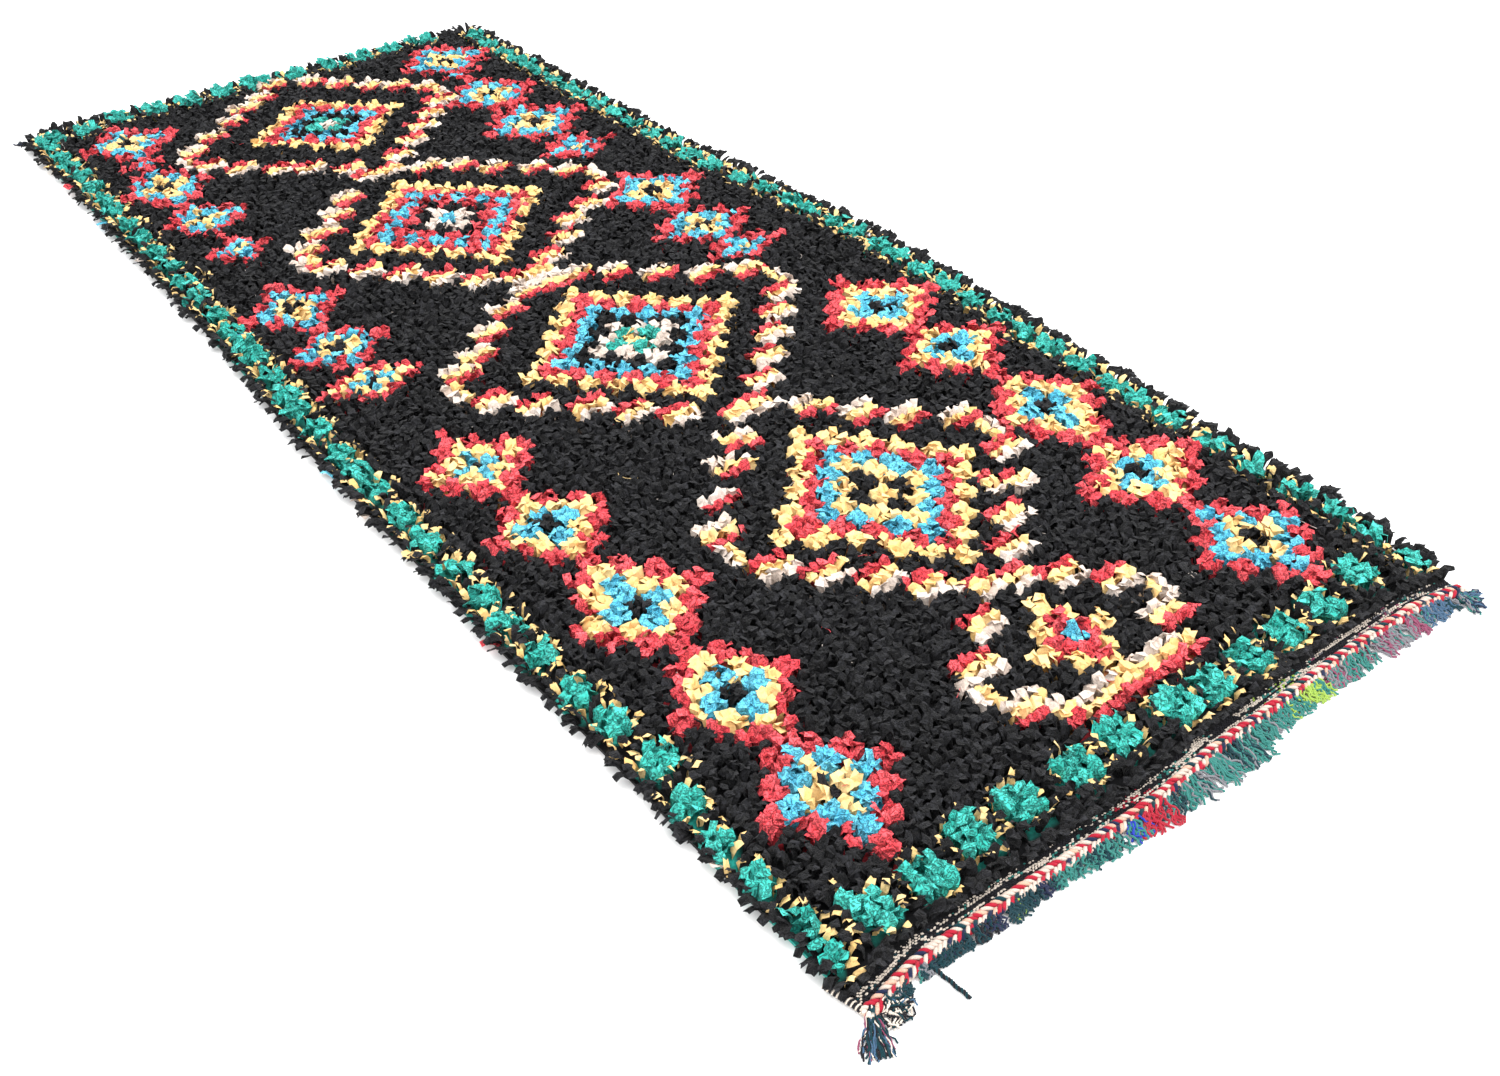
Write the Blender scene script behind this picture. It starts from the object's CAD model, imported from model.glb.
import collections
import functools
import math
import random

import bmesh
import bpy
import numpy as np
from mathutils import Matrix, Vector, noise


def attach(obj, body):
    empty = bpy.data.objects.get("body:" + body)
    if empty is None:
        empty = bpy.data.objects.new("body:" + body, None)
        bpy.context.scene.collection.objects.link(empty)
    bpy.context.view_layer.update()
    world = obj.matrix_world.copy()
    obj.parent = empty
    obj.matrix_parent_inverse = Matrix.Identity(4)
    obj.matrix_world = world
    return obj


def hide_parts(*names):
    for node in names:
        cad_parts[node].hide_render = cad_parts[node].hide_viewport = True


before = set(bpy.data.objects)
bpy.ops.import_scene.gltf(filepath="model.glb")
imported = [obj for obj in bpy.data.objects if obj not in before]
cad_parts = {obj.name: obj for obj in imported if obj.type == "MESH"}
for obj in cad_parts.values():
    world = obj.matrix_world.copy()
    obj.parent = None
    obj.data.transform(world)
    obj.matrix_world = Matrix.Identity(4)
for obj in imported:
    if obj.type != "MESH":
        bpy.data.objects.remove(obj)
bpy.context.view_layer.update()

# Camera
# It stands off the rug's near left corner, at about chest height, and looks along the rug and
# down at it, to the right of its length. Its lens is given in pixels of a picture this wide.
PICTURE_WIDTH = 1500
FOCAL_LENGTH = 1532
SENSOR_WIDTH = 36
CAMERA_PLACE = Vector((-1.2226, -2.1350, 1.3866))
CAMERA_HEADING = math.radians(36.73)
CAMERA_PITCH = math.radians(37.98)
CAMERA_ROLL = math.radians(-0.67)

camera_data = bpy.data.cameras.new("camera")
camera_data.sensor_width = SENSOR_WIDTH
camera_data.lens = SENSOR_WIDTH * FOCAL_LENGTH / PICTURE_WIDTH
camera = bpy.data.objects.new("camera", camera_data)
bpy.context.scene.collection.objects.link(camera)
camera.matrix_world = (
    Matrix.Translation(CAMERA_PLACE)
    @ Matrix.Rotation(-CAMERA_HEADING, 4, "Z")
    @ Matrix.Rotation(math.pi / 2 - CAMERA_PITCH, 4, "X")
    @ Matrix.Rotation(CAMERA_ROLL, 4, "Z")
)
bpy.context.scene.camera = camera

# Floor and light
# A plain white floor under an even white sky, with one broad lamp overhead that gives the pile
# its soft shade.
FLOOR_SIZE = 30
FLOOR_DROP = 0.0004
FLOOR_COLOUR = (0.90, 0.90, 0.90)
FLOOR_ROUGHNESS = 0.9
SKY_STRENGTH = 2.2
LAMP_PLACE = Vector((0.7, -1.6, 3.2))
LAMP_SIZE = 2.4
LAMP_POWER = 65
SHINE = 0.18


def new_material(name, roughness):
    """A material and its principled shader, at an even roughness and with little shine."""
    material = bpy.data.materials.new(name)
    material.use_nodes = True
    shader = material.node_tree.nodes["Principled BSDF"]
    shader.inputs["Roughness"].default_value = roughness
    shader.inputs["Specular IOR Level"].default_value = SHINE
    return material, shader


floor_mesh = bpy.data.meshes.new("floor")
floor_bm = bmesh.new()
bmesh.ops.create_grid(floor_bm, x_segments=1, y_segments=1, size=FLOOR_SIZE / 2)
bmesh.ops.translate(floor_bm, verts=floor_bm.verts, vec=(0, 0, -FLOOR_DROP))
floor_bm.to_mesh(floor_mesh)
floor_bm.free()
floor = bpy.data.objects.new("floor", floor_mesh)
bpy.context.scene.collection.objects.link(floor)
floor_material, floor_shader = new_material("white floor", FLOOR_ROUGHNESS)
floor_shader.inputs["Base Color"].default_value = (*FLOOR_COLOUR, 1)
floor_mesh.materials.append(floor_material)

sky = bpy.data.worlds.new("sky")
sky.use_nodes = True
sky.node_tree.nodes["Background"].inputs["Color"].default_value = (1, 1, 1, 1)
sky.node_tree.nodes["Background"].inputs["Strength"].default_value = SKY_STRENGTH
bpy.context.scene.world = sky
bpy.context.scene.view_settings.view_transform = "Standard"

lamp_data = bpy.data.lights.new("lamp", "AREA")
lamp_data.size = LAMP_SIZE
lamp_data.energy = LAMP_POWER
lamp = bpy.data.objects.new("lamp", lamp_data)
bpy.context.scene.collection.objects.link(lamp)
lamp.matrix_world = (
    Matrix.Translation(LAMP_PLACE) @ (-LAMP_PLACE).to_track_quat("-Z", "Y").to_matrix().to_4x4()
)

# Woven ground, and the chart that its knots follow
# The real ground is a coarse plain weave of dark wool, on which every row of knots is tied. It
# ends at the near end in a narrow flatwoven web. The knots' collars show their colours in it.
PILE_LENGTH = 2.77
KNOTS_ACROSS = 69
KNOT_ROWS = 154
KNOT_PITCH = 0.0165
ROW_PITCH = PILE_LENGTH / KNOT_ROWS
GROUND_TOP = 0.005
WEB_TOP = 0.0035
WEB_WIDTH = 0.018
WEB_ROWS = 3

# The x of the cloth's left and right edges, at distances from its near end
EDGES = (
    (0.00, -0.560, 0.550),
    (0.35, -0.568, 0.567),
    (0.75, -0.577, 0.583),
    (1.30, -0.583, 0.600),
    (1.60, -0.571, 0.580),
    (1.95, -0.568, 0.550),
    (2.40, -0.567, 0.545),
    (2.77, -0.572, 0.540),
)
# The near end lies a little askew: its shift along Y at places across
NEAR_LINE = (
    (-0.58, -0.028),
    (-0.45, -0.010),
    (-0.11, -0.012),
    (0.06, 0.001),
    (0.34, 0.009),
    (0.45, 0.008),
    (0.57, -0.008),
)


def eased(share):
    """A smooth step from 0 to 1."""
    share = min(1.0, max(0.0, share))
    return share * share * (3 - 2 * share)


def read_off(rows, place):
    """The values that a table's rows give at a place, eased from row to row and held past the ends."""
    place = min(max(place, rows[0][0]), rows[-1][0])
    before, after = next(pair for pair in zip(rows, rows[1:]) if place <= pair[1][0])
    blend = eased((place - before[0]) / (after[0] - before[0]))
    return [low + (high - low) * blend for low, high in zip(before[1:], after[1:])]


def near_shift(x):
    """How far the near end lies from its straight line at x."""
    return read_off(NEAR_LINE, x)[0]


def cloth_point(across, along, z):
    """A point of the cloth: across from 0 to 1, along in metres from the near end."""
    left, right = read_off(EDGES, along)
    x = left + (right - left) * across
    fade = 1 - eased(along / (PILE_LENGTH / 2))
    return Vector((x, along - PILE_LENGTH / 2 + near_shift(x) * fade, z))


# The chart counts from 10 mm left of the rug's middle and 20 mm nearer than its near row
CHART_START = Vector((-0.010, -1.405))

# A medallion's rings of blocks are named from its middle outwards
Medallion = collections.namedtuple("Medallion", "x along half_width half_length rings")
MEDALLIONS = (
    Medallion(0.045, 0.230, 0.072, 0.088, ("blue", "red", "yellow")),
    Medallion(0.050, 0.640, 0.190, 0.205, ("yellow", "black", "yellow", "blue", "red", "yellow")),
    Medallion(
        0.012, 1.235, 0.217, 0.225, ("yellow", "green", "cream", "black", "blue", "red", "yellow")
    ),
    Medallion(
        -0.020, 1.850, 0.207, 0.225, ("blue", "cream", "black", "red", "blue", "red", "yellow")
    ),
    Medallion(-0.010, 2.432, 0.180, 0.168, ("cream", "green", "black", "blue", "red", "yellow")),
)

# The side lozenges, of four sorts. Each ends in the red block that links it to the next.
RED_OVER_BLUE = ("black", "yellow", "blue", "red")
RED_OVER_YELLOW = ("black", "blue", "yellow", "red")
SMALL_BLUE = ("yellow", "blue", "red")
TINY = ("blue", "red")
LOZENGES = (
    Medallion(-0.385, 0.222, 0.100, 0.123, RED_OVER_BLUE),
    Medallion(-0.378, 0.425, 0.098, 0.137, RED_OVER_YELLOW),
    Medallion(-0.378, 0.649, 0.110, 0.137, RED_OVER_YELLOW),
    Medallion(-0.380, 0.875, 0.107, 0.112, RED_OVER_YELLOW),
    Medallion(-0.390, 1.072, 0.100, 0.118, RED_OVER_YELLOW),
    Medallion(-0.408, 1.395, 0.100, 0.070, RED_OVER_YELLOW),
    Medallion(-0.408, 1.530, 0.095, 0.088, RED_OVER_BLUE),
    Medallion(-0.412, 1.705, 0.093, 0.118, RED_OVER_BLUE),
    Medallion(-0.400, 1.985, 0.063, 0.065, SMALL_BLUE),
    Medallion(-0.402, 2.151, 0.088, 0.098, RED_OVER_BLUE),
    Medallion(-0.412, 2.338, 0.095, 0.119, RED_OVER_BLUE),
    Medallion(-0.408, 2.478, 0.048, 0.033, TINY),
    Medallion(-0.395, 2.605, 0.105, 0.112, RED_OVER_BLUE),
    Medallion(0.402, 0.232, 0.110, 0.123, RED_OVER_BLUE),
    Medallion(0.402, 0.432, 0.122, 0.123, RED_OVER_YELLOW),
    Medallion(0.420, 0.647, 0.115, 0.130, RED_OVER_YELLOW),
    Medallion(0.430, 0.880, 0.115, 0.112, RED_OVER_YELLOW),
    Medallion(0.422, 1.070, 0.130, 0.122, RED_OVER_YELLOW),
    Medallion(0.370, 1.403, 0.095, 0.052, SMALL_BLUE),
    Medallion(0.360, 1.525, 0.125, 0.096, RED_OVER_BLUE),
    Medallion(0.365, 1.705, 0.118, 0.110, RED_OVER_BLUE),
    Medallion(0.365, 1.988, 0.095, 0.065, SMALL_BLUE),
    Medallion(0.360, 2.163, 0.130, 0.133, RED_OVER_BLUE),
    Medallion(0.360, 2.358, 0.115, 0.116, RED_OVER_BLUE),
    Medallion(0.365, 2.508, 0.060, 0.037, TINY),
    Medallion(0.380, 2.613, 0.120, 0.112, RED_OVER_BLUE),
)

# The stepped frames: each run goes from its first step to its last. Side is -1 on a frame's near
# half and 1 on its far half, and the stripes are named from the frame's inside.
STEP_WIDTH = 0.067
STEP_HEIGHT = 3 * ROW_PITCH
JOINT_WIDTH = 0.11
TOP_STEP_WIDTH = 0.094
STRIPES = ("red", "yellow", "cream")
NEAR_STRIPES = ("cream", "yellow", "red")
Run = collections.namedtuple(
    "Run", "x along last_x last_along steps side width stripes", defaults=(STEP_WIDTH, STRIPES)
)
RUNS = (
    Run(-0.045, 0.137, 0.135, 0.137, 4, -1, STEP_WIDTH, NEAR_STRIPES),
    Run(-0.098, 0.185, -0.098, 0.185, 1, -1, STEP_WIDTH, NEAR_STRIPES),
    Run(0.185, 0.190, 0.185, 0.190, 1, -1, STEP_WIDTH, NEAR_STRIPES),
    Run(-0.095, 0.273, -0.035, 0.327, 2, 1, STEP_WIDTH, NEAR_STRIPES),
    Run(0.185, 0.277, 0.130, 0.332, 2, 1, STEP_WIDTH, NEAR_STRIPES),
    Run(0.050, 0.380, 0.050, 0.380, 1, -1, JOINT_WIDTH),
    Run(-0.038, 0.430, -0.188, 0.599, 4, -1),
    Run(-0.192, 0.715, -0.035, 0.881, 4, 1),
    Run(0.118, 0.432, 0.280, 0.602, 4, -1),
    Run(0.282, 0.722, 0.115, 0.884, 4, 1),
    Run(0.040, 0.942, 0.040, 0.942, 1, -1, JOINT_WIDTH),
    Run(-0.060, 0.998, -0.280, 1.212, 5, -1),
    Run(-0.288, 1.318, -0.115, 1.462, 4, 1),
    Run(0.112, 0.995, 0.318, 1.210, 5, -1),
    Run(0.315, 1.320, 0.118, 1.460, 4, 1),
    Run(-0.035, 1.507, 0.050, 1.507, 2, 1, TOP_STEP_WIDTH),
    Run(-0.010, 1.550, -0.010, 1.550, 1, -1, JOINT_WIDTH),
    Run(-0.088, 1.595, -0.292, 1.802, 5, -1),
    Run(-0.295, 1.900, -0.135, 2.065, 4, 1),
    Run(0.055, 1.600, 0.295, 1.792, 5, -1),
    Run(0.285, 1.900, 0.065, 2.105, 5, 1),
    Run(-0.035, 2.135, -0.035, 2.135, 1, -1, JOINT_WIDTH),
    Run(-0.075, 2.193, -0.302, 2.378, 5, -1),
    Run(-0.298, 2.478, -0.058, 2.680, 5, 1),
    Run(-0.008, 2.730, -0.008, 2.730, 1, 1),
    Run(0.045, 2.195, 0.258, 2.398, 5, -1),
    Run(0.260, 2.498, 0.062, 2.683, 5, 1),
)

# The upright walls that close the frames at their side corners, with the side that faces outwards
Wall = collections.namedtuple("Wall", "x near far side")
WALL_WIDTH = 0.034
WALLS = (
    Wall(-0.128, 0.205, 0.255, -1),
    Wall(0.212, 0.210, 0.258, 1),
    Wall(-0.213, 0.622, 0.692, -1),
    Wall(0.300, 0.625, 0.700, 1),
    Wall(-0.310, 1.235, 1.295, -1),
    Wall(0.350, 1.232, 1.298, 1),
    Wall(-0.322, 1.825, 1.878, -1),
    Wall(0.318, 1.815, 1.878, 1),
    Wall(-0.330, 2.400, 2.458, -1),
    Wall(0.288, 2.420, 2.475, 1),
)

# The green lozenges of the border: a row at each end and a chain along each side
NEAR_ROW = (-0.46, -0.377, -0.30, -0.215, -0.125, -0.04, 0.05, 0.12, 0.20, 0.275, 0.365, 0.46)
NEAR_ROW_ALONG = 0.072
FAR_ROW = (-0.525, -0.445, -0.36, -0.275, -0.205, -0.125, -0.03, 0.06, 0.16, 0.235, 0.315, 0.405)
FAR_ROW_ALONG = 2.765
ROW_SLANT = 0.025
LEFT_CHAIN = (
    0.04, 0.10, 0.165, 0.235, 0.31, 0.395, 0.485, 0.55, 0.645, 0.727, 0.79, 0.875, 0.95, 1.025,
    1.115, 1.175, 1.235, 1.315, 1.39, 1.455, 1.52, 1.585, 1.645, 1.71, 1.78, 1.855, 1.93, 2.0,
    2.08, 2.155, 2.225, 2.305, 2.375, 2.44, 2.515, 2.575, 2.64, 2.71,
)
RIGHT_CHAIN = (
    0.06, 0.13, 0.195, 0.265, 0.34, 0.42, 0.51, 0.58, 0.645, 0.71, 0.78, 0.845, 0.915, 0.98,
    1.055, 1.13, 1.20, 1.26, 1.325, 1.385, 1.445, 1.51, 1.58, 1.655, 1.73, 1.805, 1.885, 1.96,
    2.03, 2.10, 2.175, 2.235, 2.295, 2.355, 2.415, 2.47, 2.53, 2.59, 2.66, 2.73,
)
LEFT_CHAIN_X = (
    (0.25, -0.545), (0.42, -0.522), (0.62, -0.545), (1.60, -0.540), (1.95, -0.526), (2.20, -0.535),
)
RIGHT_CHAIN_X = (
    (0.0, 0.552), (0.5, 0.562), (0.8, 0.570), (1.3, 0.580), (1.5, 0.567), (1.88, 0.534),
    (2.15, 0.540), (2.40, 0.524),
)
# A border lozenge is a block of green knots with yellow teeth all round it. It reaches one knot out
# from its middle, and its teeth two. In the pointed ones of the chains one end of each corner knot
# is a tooth too.
BLOCK_REACH = 1
TOOTH_REACH = 2
Lozenge = collections.namedtuple("Lozenge", "x along pointed")
BORDER = (
    [Lozenge(x, NEAR_ROW_ALONG + ROW_SLANT * x, False) for x in NEAR_ROW]
    + [Lozenge(x, FAR_ROW_ALONG + ROW_SLANT * x, False) for x in FAR_ROW]
    + [Lozenge(read_off(LEFT_CHAIN_X, along)[0], along, True) for along in LEFT_CHAIN]
    + [Lozenge(read_off(RIGHT_CHAIN_X, along)[0], along, True) for along in RIGHT_CHAIN]
)


def ringed_colour(shapes, spot):
    """The colour of the medallion or lozenge at a spot, if it lies in one."""
    for shape in shapes:
        count = len(shape.rings)
        steps_x = abs(round((spot.x - shape.x) / (shape.half_width / (count - 0.5))))
        steps_y = abs(round((spot.y - shape.along) / (shape.half_length / (count - 0.5))))
        if steps_x + steps_y < count:
            return shape.rings[steps_x + steps_y]
    return None


def framed_colour(spot):
    """The colour of the stepped frame at a spot, if one passes there."""
    for run in RUNS:
        for step in range(run.steps):
            share = step / max(1, run.steps - 1)
            off_x = spot.x - (run.x + (run.last_x - run.x) * share)
            off_y = spot.y - (run.along + (run.last_along - run.along) * share)
            if abs(off_x) <= run.width / 2 and abs(off_y) <= STEP_HEIGHT / 2:
                outwards = 0.5 + run.side * off_y / STEP_HEIGHT
                count = len(run.stripes)
                return run.stripes[min(count - 1, int(outwards * count))]
    for wall in WALLS:
        off = (spot.x - wall.x) * wall.side
        if abs(off) <= WALL_WIDTH / 2 and wall.near <= spot.y <= wall.far:
            return "cream" if off > 0 else "yellow"
    return None


def border_colour(spot):
    """Green where a lozenge of the border lies, and the sort of tooth where its edge does."""
    edge = None
    for lozenge in BORDER:
        knots_x = abs(round((spot.x - lozenge.x) / KNOT_PITCH))
        knots_y = abs(round((spot.y - lozenge.along) / ROW_PITCH))
        if max(knots_x, knots_y) <= BLOCK_REACH:
            at_corner = knots_x == knots_y == BLOCK_REACH
            return "green tooth" if lozenge.pointed and at_corner else "green"
        if max(knots_x, knots_y) <= TOOTH_REACH and knots_x + knots_y < 2 * TOOTH_REACH:
            edge = "black tooth"
    return edge


def charted_colour(point):
    """The colour of the knot that is tied at a point of the cloth, or its sort of tooth."""
    spot = point.to_2d() - CHART_START
    return (
        ringed_colour(MEDALLIONS, spot)
        or framed_colour(spot)
        or ringed_colour(LOZENGES, spot)
        or border_colour(spot)
        or "black"
    )


# Each strip's own tint lies between its dye's deep and light
Dye = collections.namedtuple("Dye", "deep light")
DYES = {
    "black": Dye(deep=(0.0035, 0.0036, 0.0046), light=(0.016, 0.0162, 0.019)),
    "red": Dye(deep=(0.66, 0.045, 0.062), light=(0.90, 0.115, 0.135)),
    "yellow": Dye(deep=(0.78, 0.50, 0.185), light=(0.84, 0.61, 0.29)),
    "blue": Dye(deep=(0.070, 0.43, 0.62), light=(0.17, 0.66, 0.86)),
    "green": Dye(deep=(0.020, 0.34, 0.28), light=(0.068, 0.55, 0.47)),
    "cream": Dye(deep=(0.58, 0.47, 0.40), light=(0.68, 0.60, 0.54)),
}
# How the grain of wool mottles and raises it
GRAIN_SPAN = (0.3, 0.7)
GRAIN_LIGHTEST = 1.1
GRAIN_DETAIL = 3
GRAIN_BUMP = 0.6
GRAIN_RELIEF = 0.0008
WOOL_SHEEN = 0.1


def worked_out(tree, operation, *values):
    """A math node's result. Each value is a number or another node's output."""
    node = tree.nodes.new("ShaderNodeMath")
    node.operation = operation
    for socket, value in zip(node.inputs, values):
        if isinstance(value, bpy.types.NodeSocket):
            tree.links.new(value, socket)
        else:
            socket.default_value = value
    return node.outputs["Value"]


def spread_over(tree, value, span, new_span):
    """The value, spread from one span over another."""
    node = tree.nodes.new("ShaderNodeMapRange")
    tree.links.new(value, node.inputs["Value"])
    for label, end in zip(("From Min", "From Max", "To Min", "To Max"), (*span, *new_span)):
        node.inputs[label].default_value = end
    return node.outputs["Result"]


def own_place(tree):
    """The piece's own coordinates."""
    return tree.nodes.new("ShaderNodeTexCoord").outputs["Object"]


def grain_of(tree, scale, detail, curl=0):
    """A noise on the piece's own coordinates."""
    grain = tree.nodes.new("ShaderNodeTexNoise")
    grain.inputs["Scale"].default_value = scale
    grain.inputs["Detail"].default_value = detail
    grain.inputs["Distortion"].default_value = curl
    tree.links.new(own_place(tree), grain.inputs["Vector"])
    return grain.outputs["Fac"]


def link_tint(tree, shader, level):
    """Gives the shader the piece's own tint, made lighter or darker by the level."""
    tint = tree.nodes.new("ShaderNodeAttribute")
    tint.attribute_name = "tint"
    shade = tree.nodes.new("ShaderNodeVectorMath")
    shade.operation = "SCALE"
    tree.links.new(tint.outputs["Color"], shade.inputs[0])
    tree.links.new(level, shade.inputs["Scale"])
    tree.links.new(shade.outputs["Vector"], shader.inputs["Base Color"])


def link_bump(tree, shader, height, strength, distance):
    """Gives the shader a bump of that height."""
    bump = tree.nodes.new("ShaderNodeBump")
    bump.inputs["Strength"].default_value = strength
    bump.inputs["Distance"].default_value = distance
    tree.links.new(height, bump.inputs["Height"])
    tree.links.new(bump.outputs["Normal"], shader.inputs["Normal"])


def wool(name, roughness, grain_scale, darkest):
    """Wool in the piece's own tint, mottled and raised by a fine grain."""
    material, shader = new_material(name, roughness)
    tree = material.node_tree
    grain = grain_of(tree, grain_scale, GRAIN_DETAIL)
    link_tint(tree, shader, spread_over(tree, grain, GRAIN_SPAN, (darkest, GRAIN_LIGHTEST)))
    link_bump(tree, shader, grain, GRAIN_BUMP, GRAIN_RELIEF)
    shader.inputs["Sheen Weight"].default_value = WOOL_SHEEN
    return material


def store(mesh, name, kind, values):
    """Writes one value a point into the mesh."""
    attribute = mesh.attributes.new(name, kind, "POINT")
    field = "color" if kind == "FLOAT_COLOR" else "value"
    attribute.data.foreach_set(field, np.array(values).ravel())


def show(obj, node):
    """Puts a finished piece of the rug in place: its body and the solid it stands for."""
    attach(obj, "root")
    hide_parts(node)
    return obj


def make_ground():
    """One closed cloth, with a point under each knot of its top."""
    web_rows = [-WEB_WIDTH * (WEB_ROWS - k) / WEB_ROWS for k in range(WEB_ROWS)]
    rows = web_rows + [ROW_PITCH * k for k in range(KNOT_ROWS + 1)]
    bm = bmesh.new()
    bmesh.ops.create_grid(bm, x_segments=KNOTS_ACROSS, y_segments=len(rows) - 1, size=0.5)
    underside = list(bm.faces)
    raised = bmesh.ops.extrude_face_region(bm, geom=underside, use_keep_orig=True)["geom"]
    tops = {item for item in raised if isinstance(item, bmesh.types.BMVert)}
    tints = []
    for vert in bm.verts:
        across = vert.co.x + 0.5
        along = rows[round((vert.co.y + 0.5) * (len(rows) - 1))]
        top = WEB_TOP if along < 0 else GROUND_TOP
        vert.co = cloth_point(across, along, top if vert in tops else 0)
        # The web is dark, and so are the collars of the border's teeth
        colour = "black" if along < 0 else charted_colour(vert.co)
        tints.append((*DYES.get(colour, DYES["black"]).deep, 1))
    bmesh.ops.recalc_face_normals(bm, faces=bm.faces)
    mesh = bpy.data.meshes.new("ground_cloth")
    bm.to_mesh(mesh)
    bm.free()
    store(mesh, "tint", "FLOAT_COLOR", tints)
    mesh.materials.append(
        wool("knot collars on the ground", roughness=0.95, grain_scale=260, darkest=0.55)
    )
    cloth = bpy.data.objects.new("ground_cloth", mesh)
    bpy.context.scene.collection.objects.link(cloth)
    return cloth


ground = show(make_ground(), "pile_cloth")

# Knotted rag pile
# Strips torn from old jersey, 10 to 17 mm wide, are tied round two warps, with two to four of their
# ends left standing at each knot. They crumple, fold over and close up into an even top.
Cut = collections.namedtuple("Cut", "width fold crumple")
CUTS = {
    "black": Cut(width=0.0118, fold=0.0026, crumple=0.0022),
    "bright": Cut(width=0.0172, fold=0.0034, crumple=0.0030),
    "tooth": Cut(width=0.0105, fold=0.0022, crumple=0.0024),
}
STRIP_KINDS = 12
STRIP_THICKNESS = 0.0011
STEP_LENGTH = 0.0094
# A strip end's lean from upright in degrees, and its width as a share of the cut, ring by ring
RINGS = ((4, 0.6), (24, 0.95), (70, 1.0), (98, 0.8))
BEND_SPREAD = 12
TWIST_SPREAD = 30
# Each ring's own width, fold and step are drawn between these shares of the full ones
WIDTH_SHARES = (0.85, 1.1)
FOLD_SHARES = (0.5, 1.3)
STEP_SHARES = (0.88, 1.12)
TORN = 0.0032
TORN_MIDDLES = (-1, 0.3)
TORN_SIDES = (-0.5, 1)
STRIP_SIZES = (0.92, 1.20)
TOOTH_SIZES = (0.80, 1.05)
# The heights between which every strip is kept
FOOT = 0.0002
CROWN = 0.034
SEED = 27


def strip_mesh(cut, name, rng):
    """One crumpled end of a strip: rings of four points that rise, fold over and end in a torn edge."""
    bend = rng.gauss(0, BEND_SPREAD)
    twist = rng.uniform(-TWIST_SPREAD, TWIST_SPREAD)
    fold = cut.fold * rng.choice((-1, 1))
    centre = Vector((0, 0, 0))
    bm = bmesh.new()
    rings = []
    for step, (lean, spread) in enumerate(RINGS):
        share = step / (len(RINGS) - 1)
        lean = math.radians(lean + bend * share)
        onwards = Vector((math.sin(lean), 0, math.cos(lean)))
        side = Matrix.Rotation(math.radians(twist * share), 3, onwards) @ Vector((0, 1, 0))
        face = onwards.cross(side)
        half = cut.width / 2 * spread * rng.uniform(*WIDTH_SHARES)
        torn = TORN if step == len(RINGS) - 1 else 0
        crease = face * cut.crumple
        ridge = face * (fold * share * rng.uniform(*FOLD_SHARES))
        ridge += onwards * torn * rng.uniform(*TORN_MIDDLES)
        fold = -fold
        left = side * half + crease * rng.uniform(-1, 1) + onwards * torn * rng.uniform(*TORN_SIDES)
        right = -side * half + crease * rng.uniform(-1, 1) + onwards * torn * rng.uniform(*TORN_SIDES)
        ring = [
            bm.verts.new(centre + left),
            bm.verts.new(centre + ridge + face * STRIP_THICKNESS / 2),
            bm.verts.new(centre + right),
            bm.verts.new(centre + ridge - face * STRIP_THICKNESS / 2),
        ]
        rings.append(ring)
        centre = centre + onwards * STEP_LENGTH * rng.uniform(*STEP_SHARES)
    for ring, after in zip(rings, rings[1:]):
        for k in range(4):
            bm.faces.new((ring[k], ring[(k + 1) % 4], after[(k + 1) % 4], after[k]))
    bm.faces.new(reversed(rings[0]))
    bm.faces.new(rings[-1])
    bmesh.ops.recalc_face_normals(bm, faces=bm.faces)
    mesh = bpy.data.meshes.new(name)
    bm.to_mesh(mesh)
    bm.free()
    return mesh


def kinds_of(name, make, count):
    """A hidden collection of a few kinds of one small thing."""
    rng = random.Random(SEED)
    kinds = bpy.data.collections.new(name)
    for k in range(count):
        kind = f"{name} {k:02d}"
        kinds.objects.link(bpy.data.objects.new(kind, make(kind, rng)))
    return kinds


def new_tree(name, inputs):
    """A node tree with a geometry in and out, and these named inputs."""
    tree = bpy.data.node_groups.new(name, "GeometryNodeTree")
    tree.interface.new_socket("Geometry", in_out="INPUT", socket_type="NodeSocketGeometry")
    for label, kind in inputs:
        tree.interface.new_socket(label, in_out="INPUT", socket_type=kind)
    tree.interface.new_socket("Geometry", in_out="OUTPUT", socket_type="NodeSocketGeometry")
    given = tree.nodes.new("NodeGroupInput")
    result = tree.nodes.new("NodeGroupOutput")
    return tree, given, result


def end_tree(tree, given, result, made):
    """Gives what is made its material, and hands it out."""
    finished = tree.nodes.new("GeometryNodeSetMaterial")
    tree.links.new(made, finished.inputs["Geometry"])
    tree.links.new(given.outputs["Material"], finished.inputs["Material"])
    tree.links.new(finished.outputs["Geometry"], result.inputs["Geometry"])


def point_value(tree, name, kind):
    """A value that the points carry."""
    node = tree.nodes.new("GeometryNodeInputNamedAttribute")
    node.data_type = kind
    node.inputs["Name"].default_value = name
    return node.outputs["Attribute"]


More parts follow.
